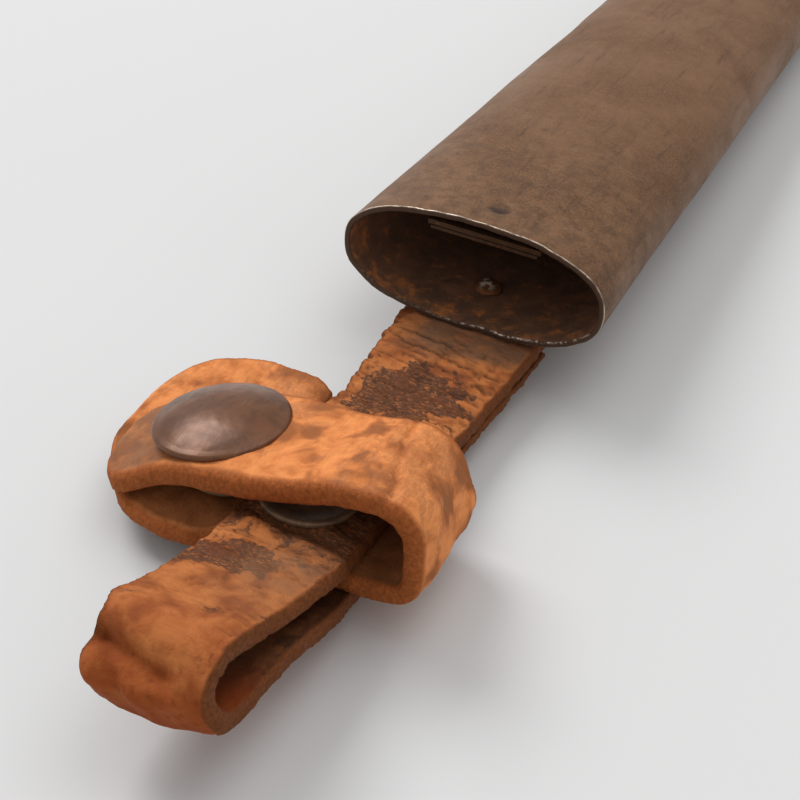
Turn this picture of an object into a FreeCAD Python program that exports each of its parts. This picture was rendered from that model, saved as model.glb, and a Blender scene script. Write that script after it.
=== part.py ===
"""Steel garden-knife sheath with a leather hanger, a belt loop and a snap-closed handle strap.

Frame: origin at the centre of the sheath's mouth, +Y along the sheath towards its tip, +X to the
right of somebody who looks into the mouth, +Z up. The hanger leaves the mouth's lower edge towards -Y.
Driving dimensions are in the Dimensions sheet, in millimetres and degrees.
"""
import math
import os

import FreeCAD
import Part
import Sketcher

Vector = FreeCAD.Vector
doc = FreeCAD.newDocument("GardenKnifeSheath")

# ---------------------------------------------------------------- driving dimensions
DIMENSIONS = [
    # alias, value, meaning
    ("sheathWidth", 40.0, "outside width of the mouth"),
    ("sheathHeight", 17.7, "outside height of the mouth"),
    ("sheathLength", 190.0, "mouth to tip"),
    ("sheathWall", 0.85, "sheet thickness"),
    ("sheathTaper", 0.0011, "share of the width lost per millimetre of length"),
    ("sheathSquareness", 2.334, "exponent of the rounded-rectangle section"),
    ("tipRounding", 36.0, "length over which the tip rounds in"),
    ("plugDepth", 2.6, "depth of the tip closure"),
    ("drainRadius", 1.5, "drain hole in the tip closure"),
    ("plateWidth", 17.0, "throat backing plate across the mouth"),
    ("plateLength", 14.0, "throat backing plate along the sheath"),
    ("plateThick", 0.7, "throat backing plate"),
    ("plateTop", 6.95, "height of the backing plate's upper face"),
    ("leafWidth", 16.0, "throat spring across the mouth"),
    ("leafThick", 0.5, "throat spring"),
    ("leafTop", 6.1, "height of the throat spring's upper face at the mouth"),
    ("leafLength", 40.0, "throat spring along the sheath"),
    ("leafSlope", 5.0, "slope of the free spring, degrees"),
    ("throatX", 1.2, "centre line of the throat parts"),
    ("throatY", 5.7, "throat rivet behind the mouth"),
    ("rivetShank", 1.3, "radius of the rivet shanks"),
    ("leather", 3.2, "leather thickness"),
    ("hangerWidth", 21.0, "hanger strap at the mouth"),
    ("hangerFoldWidth", 14.0, "hanger strap at its front fold"),
    ("rootLength", 48.0, "hanger strap under the sheath"),
    ("frontRivetY", 10.5, "front hanger rivet behind the mouth"),
    ("rearRivetY", 36.0, "rear hanger rivet behind the mouth"),
    ("hangerRivetX", -1.2, "hanger rivets off the centre line"),
    ("handleWidth", 19.6, "handle strap along the hanger"),
    ("tabRadius", 16.5, "radius of the round tab that carries the snap stud"),
    ("tabX", -15.5, "middle of the round tab across"),
    ("tabY", -37.5, "middle of the round tab along"),
    ("handleY", -42.8, "middle of the handle strap"),
    ("strapRivetX", -0.4, "strap rivet across"),
    ("strapRivetY", -45.0, "strap rivet along"),
    ("strapRivetFlange", 6.6, "radius of the strap rivet's dished head"),
    ("snapX", -14.5, "snap fastener across"),
    ("capRadius", 9.1, "radius of the snap cap"),
    ("capHeight", 3.0, "rise of the snap cap"),
    ("socketRadius", 6.2, "radius of the snap socket's flange"),
    ("studRadius", 2.7, "radius of the snap stud's head"),
    ("snapLean", 10.0, "lean of the snap's axis, degrees"),
    ("barrelRadius", 1.6, "radius of the cap's barrel, through the flap and the socket"),
    ("flapEndX", -27.2, "free end of the flap across"),
    ("flapEndRadius", 12.0, "rounding of the flap's free end"),
]

sheet = doc.addObject("Spreadsheet::Sheet", "Dimensions")
for row, (alias, value, meaning) in enumerate(DIMENSIONS, start=1):
    sheet.set(f"A{row}", meaning)
    sheet.set(f"B{row}", str(value))
    sheet.setAlias(f"B{row}", alias)
doc.recompute()


def dim(alias):
    """A driving dimension, read back from the sheet."""
    return float(sheet.get(alias))


def origin_feature(body, role):
    """One of a body's own origin planes or axes."""
    return next(item for item in body.Origin.OriginFeatures if item.Role == role)


def new_body(label):
    body = doc.addObject("PartDesign::Body", label)
    body.Label = label
    return body


def outline_sketch(body, name, plane, corners):
    """A closed outline of straight edges whose corners are pairs of sheet expressions."""
    sketch = body.newObject("Sketcher::SketchObject", name)
    sketch.AttachmentSupport = (origin_feature(body, plane), "")
    sketch.MapMode = "FlatFace"
    places = [[float(evaluate(text)) for text in corner] for corner in corners]
    count = len(corners)
    for index in range(count):
        here, after = places[index], places[(index + 1) % count]
        sketch.addGeometry(Part.LineSegment(Vector(*here, 0), Vector(*after, 0)), False)
    for index in range(count):
        sketch.addConstraint(Sketcher.Constraint("Coincident", index, 2, (index + 1) % count, 1))
        fix_point(sketch, index, 1, places[index], corners[index])
    return sketch


def fix_point(sketch, curve, point, place, texts):
    """Tie a point of a curve to its two expressions, or to an axis where the value is zero."""
    for kind, axis, value, text in zip(("DistanceX", "DistanceY"), (-2, -1), place, texts):
        if abs(value) < 1e-9:
            sketch.addConstraint(Sketcher.Constraint("PointOnObject", curve, point, axis))
            continue
        number = sketch.addConstraint(Sketcher.Constraint(kind, -1, 1, curve, point, value))
        sketch.setExpression(f"Constraints[{number}]", qualify(text))


def evaluate(text):
    """The value of an expression that names sheet aliases."""
    names = {alias: dim(alias) for alias, _, _ in DIMENSIONS}
    for alias in sorted(names, key=len, reverse=True):
        text = text.replace(alias, repr(names[alias]))
    return FreeCAD.Units.Quantity(text).Value


def qualify(text):
    """The same expression with each alias written as a reference to the sheet."""
    for alias, _, _ in sorted(DIMENSIONS, key=lambda entry: -len(entry[0])):
        text = text.replace(alias, f"<<Dimensions>>.{alias}")
    return text


def turned(label, corners, base, lean=0):
    """A piece turned about its own Z axis, stood at base with its axis tipped about Y by lean degrees."""
    body = new_body(label)
    sketch = outline_sketch(body, label + "_outline", "XZ_Plane", corners)
    turn = body.newObject("PartDesign::Revolution", label + "_turn")
    turn.Profile = sketch
    turn.ReferenceAxis = (sketch, ["V_Axis"])
    turn.Angle = 360
    body.Placement = FreeCAD.Placement(Vector(*base), FreeCAD.Rotation(Vector(0, 1, 0), lean))
    return body


def bored(body, plane, centre, radius, depth):
    """A round hole cut both ways through a body, square to one of its origin planes."""
    sketch = body.newObject("Sketcher::SketchObject", body.Label + "_hole_" + str(len(body.Group)))
    sketch.AttachmentSupport = (origin_feature(body, plane), "")
    sketch.MapMode = "FlatFace"
    middle = Vector(evaluate(centre[0]), evaluate(centre[1]), 0)
    sketch.addGeometry(Part.Circle(middle, Vector(0, 0, 1), evaluate(radius)), False)
    fix_point(sketch, 0, 3, (middle.x, middle.y), centre)
    number = sketch.addConstraint(Sketcher.Constraint("Radius", 0, evaluate(radius)))
    sketch.setExpression(f"Constraints[{number}]", qualify(radius))
    doc.recompute()
    before = body.Shape.Volume
    pocket = body.newObject("PartDesign::Pocket", sketch.Label + "_cut")
    pocket.Profile = sketch
    pocket.Midplane = True
    pocket.Length = depth
    doc.recompute()
    assert body.Shape.Volume < before - 0.1, body.Label + ": the hole cuts nothing"


def formed(label, shape):
    """A free-form piece whose shape is worked out from the sheet in code."""
    feature = doc.addObject("Part::Feature", label)
    feature.Label = label
    feature.Shape = shape
    feature.Placement = FreeCAD.Placement()
    return feature


def hole_tool(x, y, radius, low, high):
    return Part.makeCylinder(radius, high - low, Vector(x, y, low))


# ---------------------------------------------------------------- sheath shell and tip closure
LENGTH = dim("sheathLength")


def section_scale(y):
    """Size of the section at y as a share of the mouth: a straight taper, then a rounded tip."""
    start = LENGTH - dim("tipRounding")
    rounding = 1.0
    if y > start:
        share = (y - start) / (dim("tipRounding") * 1.06)
        rounding = (1 - share ** 2.2) ** (1 / 2.2)
    return (1 - dim("sheathTaper") * y) * rounding


def section_wire(y, inset):
    """The rounded-rectangle section at y, inset by a distance, as one closed smooth curve."""
    half_width = dim("sheathWidth") / 2 * section_scale(y) - inset
    # The tip keeps more of its height than of its width, as a pressed end does.
    half_height = dim("sheathHeight") / 2 * section_scale(y) ** 0.75 - inset
    power = 2 / dim("sheathSquareness")
    count = 36
    points = []
    for index in range(count):
        angle = 2 * math.pi * index / count
        across, up = math.cos(angle), math.sin(angle)
        points.append(Vector(
            math.copysign(abs(across) ** power, across) * half_width,
            y,
            math.copysign(abs(up) ** power, up) * half_height,
        ))
    curve = Part.BSplineCurve()
    curve.interpolate(points, PeriodicFlag=True)
    return Part.Wire([curve.toShape()])


def sheath_loft(inset, first, last):
    """A solid through the sections, from first to last, straight between them."""
    straight_end = LENGTH - dim("tipRounding")
    tip_shares = (0.0, 0.2, 0.4, 0.55, 0.7, 0.82, 0.92)
    stations = [first, *(straight_end + dim("tipRounding") * share for share in tip_shares), last]
    return Part.makeLoft([section_wire(y, inset) for y in stations], True, True)


outside = sheath_loft(0.0, 0.0, LENGTH)
# The hollow starts ahead of the mouth so that the rim is cut square.
hollow = sheath_loft(dim("sheathWall"), -1.0, LENGTH + 0.4)
THROAT = (dim("throatX"), dim("throatY"))
RIVETS_Y = (dim("frontRivetY"), dim("rearRivetY"))
RIVET_X = dim("hangerRivetX")
SHANK = dim("rivetShank")
THROAT_HEAD = 2.1  # radius of the throat rivet's flush head
OUTSIDE = 12.0  # a height past the shell's wall, for the tools that cut it
shell = outside.cut(hollow).cut(hole_tool(*THROAT, THROAT_HEAD, 0, OUTSIDE))
for rivet_y in RIVETS_Y:
    shell = shell.cut(hole_tool(RIVET_X, rivet_y, SHANK, -OUTSIDE, 0))
formed("sheath_shell", shell)

REACH = 40.0  # past the object's sides, for the tools that trim it
plug_start = LENGTH - dim("plugDepth")
plug_zone = Part.makeBox(2 * REACH, dim("plugDepth"), 2 * REACH, Vector(-REACH, plug_start, -REACH))
plug = hollow.common(plug_zone)
drain = Part.makeCylinder(dim("drainRadius"), 20, Vector(0, LENGTH - 10, 0), Vector(0, 1, 0))
formed("tip_plug", plug.cut(drain))

# ---------------------------------------------------------------- throat parts inside the mouth
plate = new_body("throat_backing_plate")
plate_sketch = outline_sketch(plate, "plate_outline", "XY_Plane", [
    ("throatX - plateWidth/2", "0.4"),
    ("throatX + plateWidth/2", "0.4"),
    ("throatX + plateWidth/2", "plateLength"),
    ("throatX - plateWidth/2", "plateLength"),
])
plate_pad = plate.newObject("PartDesign::Pad", "plate_pad")
plate_pad.Profile = plate_sketch
plate_pad.setExpression("Length", qualify("plateThick"))
plate.setExpression("Placement.Base.z", qualify("plateTop - plateThick"))
bored(plate, "XY_Plane", ("throatX", "throatY"), "rivetShank", 6)

SLOPE = math.tan(math.radians(dim("leafSlope")))


def leaf_outline():
    """Side view of the spring: flat to the rivet, then sloping into the sheath."""
    free = dim("leafLength") - dim("throatY")
    top, thick = dim("leafTop"), dim("leafThick")
    tail = f"leafTop - {free * SLOPE:.4f}"
    assert top - free * SLOPE - thick > 2.4
    return [
        ("0.4", "leafTop - leafThick"),
        ("throatY", "leafTop - leafThick"),
        ("leafLength", tail + " - leafThick"),
        ("leafLength", tail),
        ("throatY", "leafTop"),
        ("0.4", "leafTop"),
    ]


leaf = new_body("throat_spring")
leaf_sketch = outline_sketch(leaf, "leaf_outline", "YZ_Plane", leaf_outline())
leaf_pad = leaf.newObject("PartDesign::Pad", "leaf_pad")
leaf_pad.Profile = leaf_sketch
leaf_pad.Midplane = True
leaf_pad.setExpression("Length", qualify("leafWidth"))
leaf.setExpression("Placement.Base.x", qualify("throatX"))
# The spring rocks on the rivet, so its hole is wider than the shank.
bored(leaf, "XY_Plane", ("0", "throatY"), "rivetShank + 0.35", 30)

turned("throat_rivet", [
    ("0", "0"),
    ("2.4", "0"),
    ("2.4", "0.5"),
    ("1.6", "0.8"),
    ("rivetShank", "0.8"),
    ("rivetShank", "3.6"),
    ("2.1", "3.6"),
    ("2.1", "4.05"),
    ("0", "4.05"),
], (*THROAT, 4.4))


# ---------------------------------------------------------------- bent leather straps
def strap_wire(points, radii):
    """Straight runs through points, joined by tangent arcs of the given radii."""
    edges = []
    here = points[0]
    for index in range(1, len(points) - 1):
        corner = points[index]
        inward = (points[index - 1] - corner).normalize()
        outward = (points[index + 1] - corner).normalize()
        turn = inward.getAngle(outward)
        setback = radii[index - 1] / math.tan(turn / 2)
        first, last = corner + inward * setback, corner + outward * setback
        middle_line = (inward + outward).normalize()
        middle = corner + middle_line * (radii[index - 1] / math.sin(turn / 2) - radii[index - 1])
        if (first - here).Length > 1e-6:
            edges.append(Part.LineSegment(here, first).toShape())
        edges.append(Part.Arc(first, middle, last).toShape())
        here = last
    edges.append(Part.LineSegment(here, points[-1]).toShape())
    return Part.Wire(edges)


def bent_strap(points, radii, across, start, width):
    """A strap of one leather thickness with round ends, wide in the direction across."""
    ribbon = Part.Face(strap_wire(points, radii).makeOffset2D(dim("leather") / 2, 0, False, False, False))
    ribbon.translate(across * start)
    return ribbon.extrude(across * width)


HALF = dim("leather") / 2
# Height of the hanger strap's middle layer line at the hinge under the mouth.
HINGE_Z = -(dim("sheathHeight") / 2 + 0.1 + HALF)

root = new_body("hanger_strap_root")
root_sketch = outline_sketch(root, "root_outline", "YZ_Plane", [
    ("1.9", "-leather/2"),
    ("rootLength", "-leather/2"),
    ("rootLength", "leather/2"),
    ("1.9", "leather/2"),
])
root_pad = root.newObject("PartDesign::Pad", "root_pad")
root_pad.Profile = root_sketch
root_pad.Midplane = True
root_pad.setExpression("Length", qualify("hangerWidth"))
doc.recompute()
front_edges = [
    f"Edge{number}" for number, edge in enumerate(root_pad.Shape.Edges, start=1)
    if edge.BoundBox.YMax < 2.0 and edge.BoundBox.XLength > 5
]
root_nose = root.newObject("PartDesign::Fillet", "root_nose")
root_nose.Base = (root_pad, front_edges)
root_nose.setExpression("Radius", qualify("leather/2 - 0.05"))
for number, alias in enumerate(("frontRivetY", "rearRivetY"), start=1):
    bored(root, "XY_Plane", ("hangerRivetX", alias), "rivetShank", 30)
# The strap follows the sheath's underside, which rises with the taper.
RISE = math.degrees(math.atan(dim("sheathHeight") / 2 * dim("sheathTaper") * 0.9))
root.Placement = FreeCAD.Placement(
    Vector(0, 0, HINGE_Z), FreeCAD.Rotation(Vector(1, 0, 0), RISE))

for label, rivet_y in zip(("front", "rear"), RIVETS_Y):
    lift = rivet_y * math.tan(math.radians(RISE))
    leather_low = HINGE_Z - HALF + lift
    turned(f"hanger_rivet_{label}", [
        ("0", "0"),
        ("2.2", "0"),
        ("2.2", "0.5"),
        ("rivetShank", "0.9"),
        ("rivetShank", "6.05"),
        ("3.0", "6.05"),
        ("2.4", "6.8"),
        ("1.2", "7.25"),
        ("0", "7.35"),
    ], (RIVET_X, rivet_y, leather_low - 1.8))
    turned(f"hanger_washer_{label}", [
        ("rivetShank", "0"),
        ("4.0", "0"),
        ("4.3", "0.25"),
        ("4.3", "0.8"),
        ("rivetShank", "0.8"),
    ], (RIVET_X, rivet_y, leather_low - 0.85))

# The moving hanger: upper leg, front fold and return leg as one strap, seen from its side.
hanger_side = [
    (-1.9, HINGE_Z), (-20.5, -11.25), (-29.0, -9.7), (-54.5, -9.7), (-68.0, -6.2), (-77.0, -2.6),
    (-85.6, -1.6), (-85.9, -12.3), (-69.0, -13.2), (-57.0, -16.25), (-30.0, -16.25), (-20.5, -14.7),
    (-4.0, -14.1),
]
hanger_radii = [20, 20, 30, 40, 20, 4.8, 4.8, 40, 30, 20, 20]
hanger = bent_strap(
    [Vector(0, y, z) for y, z in hanger_side], hanger_radii, Vector(1, 0, 0), -REACH, 2 * REACH)
wide, narrow = dim("hangerWidth") / 2, dim("hangerFoldWidth") / 2
# Seen from above, the strap narrows towards its fold, and leans a little to the right.
LEAN_RIGHT = 0.8
plan_corners = [
    (-wide, 2), (wide, 2), (wide - LEAN_RIGHT, -24), (narrow + LEAN_RIGHT, -90),
    (LEAN_RIGHT - narrow, -90), (2 * LEAN_RIGHT - wide, -24), (-wide, 2),
]
plan = Part.Face(Part.makePolygon([Vector(x, y, -REACH) for x, y in plan_corners]))
hanger = hanger.common(plan.extrude(Vector(0, 0, 2 * REACH)))
STRAP_RIVET = (dim("strapRivetX"), dim("strapRivetY"))
STRAP_SHANK = 2.0
strap_hole = hole_tool(*STRAP_RIVET, STRAP_SHANK, -30, 10)
formed("hanger_strap", hanger.cut(strap_hole))

# ---------------------------------------------------------------- handle strap
START_Y = dim("handleY") - dim("handleWidth") / 2
ACROSS = Vector(0, 1, 0)
BASE_Z = -12.95  # middle of the handle strap where the hanger's two legs clamp it
base_front = [(-31.0, BASE_Z), (11.5, BASE_Z), (17.0, -11.6), (16.9, -5.2)]
TAB = Vector(dim("tabX"), dim("tabY"), -REACH)
TAB_RADIUS = dim("tabRadius")
base = bent_strap([Vector(x, 0, z) for x, z in base_front], [9.0, 3.2],
                  ACROSS, TAB.y - TAB_RADIUS, 2 * TAB_RADIUS)
# The free end is a round tab, wider than the strap that runs between the hanger's legs.
MARGIN = 0.5  # the band of the strap is cut this much wider than the strap
band = Part.makeBox(2 * REACH, dim("handleWidth") + 2 * MARGIN, 2 * REACH,
                    Vector(TAB.x, START_Y - MARGIN, -REACH))
tab_zone = Part.makeCylinder(TAB_RADIUS, 2 * REACH, TAB)
# The tab stops short of the hanger, beside which only the strap goes on.
beside_hanger = Vector(-wide - 0.4, START_Y + dim("handleWidth") + MARGIN, -REACH)
hanger_zone = Part.makeBox(2 * REACH, 2 * REACH, 2 * REACH, beside_hanger)
base = base.common(tab_zone.cut(hanger_zone).fuse(band)).cut(strap_hole)

flap_front = [
    (17.0, -1.5), (16.6, 0.2), (14.0, 1.3), (6.0, -0.4), (-4.0, -4.3), (-20.0, -7.12), (-26.0, -9.0),
]
flap = bent_strap(
    [Vector(x, 0, z) for x, z in flap_front], [2.0, 4.0, 25, 25, 15], ACROSS, START_Y, dim("handleWidth"))
END_RADIUS = dim("flapEndRadius")
end_middle = Vector(dim("flapEndX") + END_RADIUS, dim("handleY"), -REACH)
flap_plan = Part.makeCylinder(END_RADIUS, 2 * REACH, end_middle)
flap_plan = flap_plan.fuse(
    Part.makeBox(2 * REACH, dim("handleWidth"), 2 * REACH, Vector(-10, START_Y, -REACH)))
flap = flap.common(flap_plan)

# ---------------------------------------------------------------- snap fastener
LEAN = -dim("snapLean")
AXIS = Vector(math.sin(math.radians(LEAN)), 0, math.cos(math.radians(LEAN)))
# The flap's upper face on the snap's axis.
FLAP_TOP = Vector(dim("snapX"), dim("handleY") + 0.3, -4.5)
flap_hole = Part.makeCylinder(dim("barrelRadius"), 30, FLAP_TOP - AXIS * 15, AXIS)
formed("handle_strap_flap", flap.cut(flap_hole))


def on_axis(distance):
    """A place on the snap's axis, measured up from the flap's upper face."""
    return tuple(FLAP_TOP + AXIS * distance)


turned("snap_cap", [
    ("0", "capHeight"),
    ("0", "0.65"),
    ("1.0", "0.65"),
    ("1.0", "-leather - 0.4"),
    ("barrelRadius", "-leather - 0.4"),
    ("barrelRadius", "0.05"),
    ("capRadius - 0.5", "0.05"),
    ("capRadius", "0.45"),
    ("capRadius - 0.3", "1.0"),
    ("capRadius*0.8", "capHeight*0.62"),
    ("capRadius*0.5", "capHeight*0.9"),
], on_axis(0.05), LEAN)

SOCKET_TOP = -dim("leather") - 0.15
turned("snap_socket", [
    ("barrelRadius + 0.05", "0"),
    ("socketRadius", "0"),
    ("socketRadius", "-0.55"),
    ("4.4", "-0.55"),
    ("4.4", "-1.75"),
    ("4.0", "-1.75"),
    ("4.0", "-0.55"),
    ("barrelRadius + 0.05", "-0.55"),
], on_axis(SOCKET_TOP), LEAN)
formed("snap_socket_spring", Part.makeTorus(
    3.65, 0.32, Vector(*on_axis(SOCKET_TOP - 1.4)), AXIS))

# The stud meets the tilted socket on its axis.
STUD = Vector(on_axis(-4.7)[0], FLAP_TOP.y, BASE_Z + HALF)
EYELET_RADIUS = 1.2
formed("handle_strap_base", base.cut(hole_tool(STUD.x, STUD.y, EYELET_RADIUS, -REACH, 0)))
turned("snap_stud", [
    ("1.2", "0"),
    ("5.2", "0"),
    ("5.2", "0.45"),
    ("studRadius - 0.5", "0.6"),
    ("studRadius - 0.5", "1.4"),
    ("studRadius", "1.8"),
    ("studRadius - 0.3", "2.2"),
    ("1.2", "2.2"),
], tuple(STUD))
turned("snap_stud_eyelet", [
    ("0.6", "0"),
    ("4.6", "0"),
    ("4.6", "0.5"),
    ("1.2", "0.5"),
    ("1.2", "leather + 2.6"),
    ("0.6", "leather + 2.6"),
], (STUD.x, STUD.y, BASE_Z - HALF - 0.5))

# ---------------------------------------------------------------- strap rivet through the hanger's stack
turned("strap_rivet", [
    ("0", "0"),
    ("3.0", "0"),
    ("3.0", "0.45"),
    ("2.0", "0.45"),
    ("2.0", "10.75"),
    ("strapRivetFlange - 0.4", "10.75"),
    ("strapRivetFlange", "11.25"),
    ("strapRivetFlange - 0.5", "11.75"),
    ("strapRivetFlange - 1.2", "11.35"),
    ("2.0", "11.3"),
    ("0", "11.45"),
], (*STRAP_RIVET, -18.85))
turned("strap_rivet_washer", [
    ("2.0", "0"),
    ("4.6", "0"),
    ("4.6", "0.55"),
    ("2.0", "0.55"),
], (*STRAP_RIVET, -18.4))

# ---------------------------------------------------------------- check and write
doc.recompute()
for item in doc.Objects:
    bad = [state for state in item.State if state in ("Invalid", "Error")]
    assert not bad, f"{item.Label} is {bad}"
os.makedirs("parts", exist_ok=True)
pieces = [item for item in doc.Objects if item.TypeId in ("PartDesign::Body", "Part::Feature")]
for piece in pieces:
    shape = piece.Shape
    assert not shape.isNull() and shape.isValid() and shape.Volume > 0, piece.Label + " has no valid shape"
    print(f"{piece.Label:24s} solids {len(shape.Solids)} volume {shape.Volume:10.1f} mm3")
    shape.exportStep(f"parts/{piece.Label}.step")
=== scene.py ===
"""Looks of a worn steel garden-knife sheath with its leather hanger and snap-closed handle strap.

Lengths inside the piece functions are in millimetres, in the frame of the CAD model, and are turned
into metres where a mesh is made. The straps are swept along the CAD straps' centre lines, but the
hanger's return leg goes on under the mouth. Their cracks, wrinkles and worn edges are geometry.
"""
import bpy
import math
from mathutils import Matrix, Vector, noise


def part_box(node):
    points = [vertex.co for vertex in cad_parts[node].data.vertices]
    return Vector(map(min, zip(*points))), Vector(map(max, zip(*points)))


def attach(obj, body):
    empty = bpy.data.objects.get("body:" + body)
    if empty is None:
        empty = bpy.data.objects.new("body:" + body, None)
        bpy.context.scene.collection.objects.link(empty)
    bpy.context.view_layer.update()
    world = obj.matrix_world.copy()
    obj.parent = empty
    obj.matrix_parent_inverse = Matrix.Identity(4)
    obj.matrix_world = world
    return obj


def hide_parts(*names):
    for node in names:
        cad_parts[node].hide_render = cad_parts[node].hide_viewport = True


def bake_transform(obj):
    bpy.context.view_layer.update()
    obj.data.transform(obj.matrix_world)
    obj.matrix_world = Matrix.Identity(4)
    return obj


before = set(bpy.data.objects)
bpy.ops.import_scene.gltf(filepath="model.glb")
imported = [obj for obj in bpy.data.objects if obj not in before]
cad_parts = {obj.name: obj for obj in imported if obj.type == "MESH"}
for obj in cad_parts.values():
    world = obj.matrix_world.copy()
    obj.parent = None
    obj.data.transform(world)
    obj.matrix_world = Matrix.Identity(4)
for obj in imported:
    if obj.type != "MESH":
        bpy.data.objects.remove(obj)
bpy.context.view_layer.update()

MM = 0.001
UP = Vector((0, 0, 1))


# ---------------------------------------------------------------- numbers with a shape
def smooth(value, low, high):
    """0 before low, 1 past high, and a soft step between them; low may be the greater."""
    share = min(max((value - low) / (high - low), 0.0), 1.0)
    return share * share * (3 - 2 * share)


def hill(value, middle, spread):
    """A soft hill of height 1 about middle."""
    return math.exp(-(((value - middle) / spread) ** 2))


def rough(x, y, z, octaves=3):
    """Fractal noise, about -1 to 1, with features about one unit wide."""
    return noise.fractal(Vector((x, y, z)), 0.9, 2.0, octaves)


def line_of_zero(value, width):
    """1 where a noise value crosses zero and 0 away from it: a network of thin lines."""
    return max(0.0, 1 - abs(value) / width) ** 1.5


# ---------------------------------------------------------------- meshes made of rings
def mesh_object(name, vertices, faces, attributes=None, materials=(), face_material=None):
    """A smooth-shaded object from vertices in millimetres, with named values on its points."""
    mesh = bpy.data.meshes.new(name)
    mesh.from_pydata([Vector(v) * MM for v in vertices], [], faces)
    mesh.polygons.foreach_set("use_smooth", [True] * len(faces))
    for key, values in (attributes or {}).items():
        is_vector = hasattr(values[0], "__len__")
        layer = mesh.attributes.new(key, "FLOAT_VECTOR" if is_vector else "FLOAT", "POINT")
        if is_vector:
            layer.data.foreach_set("vector", [number for value in values for number in value])
        else:
            layer.data.foreach_set("value", values)
    for material in materials:
        mesh.materials.append(material)
    if face_material:
        mesh.polygons.foreach_set("material_index", face_material)
    piece = bpy.data.objects.new(name, mesh)
    bpy.context.scene.collection.objects.link(piece)
    return piece


def ring_faces(rings, count, closed=False):
    """Quads between neighbouring rings of count points each."""
    faces = []
    for ring in range(rings if closed else rings - 1):
        here, after = ring * count, (ring + 1) % rings * count
        for index in range(count):
            beside = (index + 1) % count
            faces.append((here + index, here + beside, after + beside, after + index))
    return faces


# ---------------------------------------------------------------- leather straps
def corner_arc(before, corner, after, radius, step):
    """Points of the arc that rounds a corner, tangent to the straight runs on both sides."""
    inward = (before - corner).normalized()
    outward = (after - corner).normalized()
    half = inward.angle(outward) / 2
    middle = corner + (inward + outward).normalized() * radius / math.sin(half)
    start = corner + inward * radius / math.tan(half) - middle
    sweep = math.pi - 2 * half
    if inward.cross(outward) > 0:
        sweep = -sweep
    turns = max(2, int(abs(sweep) * radius / step))
    return [middle + Matrix.Rotation(sweep * turn / turns, 2) @ start for turn in range(turns + 1)]


def bend(corners, radii, step):
    """Evenly spaced stations on straight runs joined by arcs: (point, direction, length so far)."""
    corners = [Vector(corner) for corner in corners]
    line = [corners[0]]
    for before, corner, after, radius in zip(corners, corners[1:], corners[2:], radii):
        line += corner_arc(before, corner, after, radius, step)
    line.append(corners[-1])
    lengths = [0.0]
    for before, after in zip(line, line[1:]):
        lengths.append(lengths[-1] + (after - before).length)
    count = int(lengths[-1] / step)
    samples, index = [], 0
    for number in range(count + 1):
        length = lengths[-1] * number / count
        while index < len(line) - 2 and lengths[index + 1] < length:
            index += 1
        run = max(lengths[index + 1] - lengths[index], 1e-9)
        samples.append((line[index].lerp(line[index + 1], (length - lengths[index]) / run), length))
    route = []
    for number, (here, length) in enumerate(samples):
        before = samples[max(number - 3, 0)][0]
        after = samples[min(number + 3, count)][0]
        route.append((here, (after - before).normalized(), length))
    return route


EDGE_STEPS = 8  # steps round each cut edge of a strap's section
EDGE_OUT = 0.75  # below 1, a cut edge is squarer than a half circle
EDGE_HIGH = 0.8
NOSE_THICKNESS = 0.25  # thickness left at a strap's very end, as a share of the full one


def edge_ring(middle_angle, side):
    """The part of a section that goes round one cut edge."""
    ring = []
    for index in range(1, EDGE_STEPS):
        angle = middle_angle - math.pi * index / EDGE_STEPS
        out = abs(math.cos(angle)) ** EDGE_OUT
        high = math.copysign(abs(math.sin(angle)) ** EDGE_HIGH, math.sin(angle))
        ring.append((side, side * out, high, out))
    return ring


def strap_section(flat):
    """One ring of a strap's section: (share across, part of edge radius, share of height, edge share)."""
    upper = [(2 * index / flat - 1, 0.0, 1.0, 0.0) for index in range(flat + 1)]
    lower = [(1 - 2 * index / flat, 0.0, -1.0, 0.0) for index in range(flat + 1)]
    return upper + edge_ring(math.pi / 2, 1.0) + lower + edge_ring(-math.pi / 2, -1.0)


def strap_caps(rings, count, flat):
    """Faces that close a strap's two ends: quads between its faces, and one face at each cut edge."""
    faces = []
    far = flat + EDGE_STEPS
    for start, flip in ((0, False), ((rings - 1) * count, True)):
        for index in range(flat):
            below = start + far + flat - index
            quad = (start + index, below, below - 1, start + index + 1)
            faces.append(quad[::-1] if flip else quad)
        for first in (flat, far + flat):
            loop = tuple(start + (first + step) % count for step in range(EDGE_STEPS + 1))
            faces.append(loop if flip else loop[::-1])
    return faces


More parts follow.
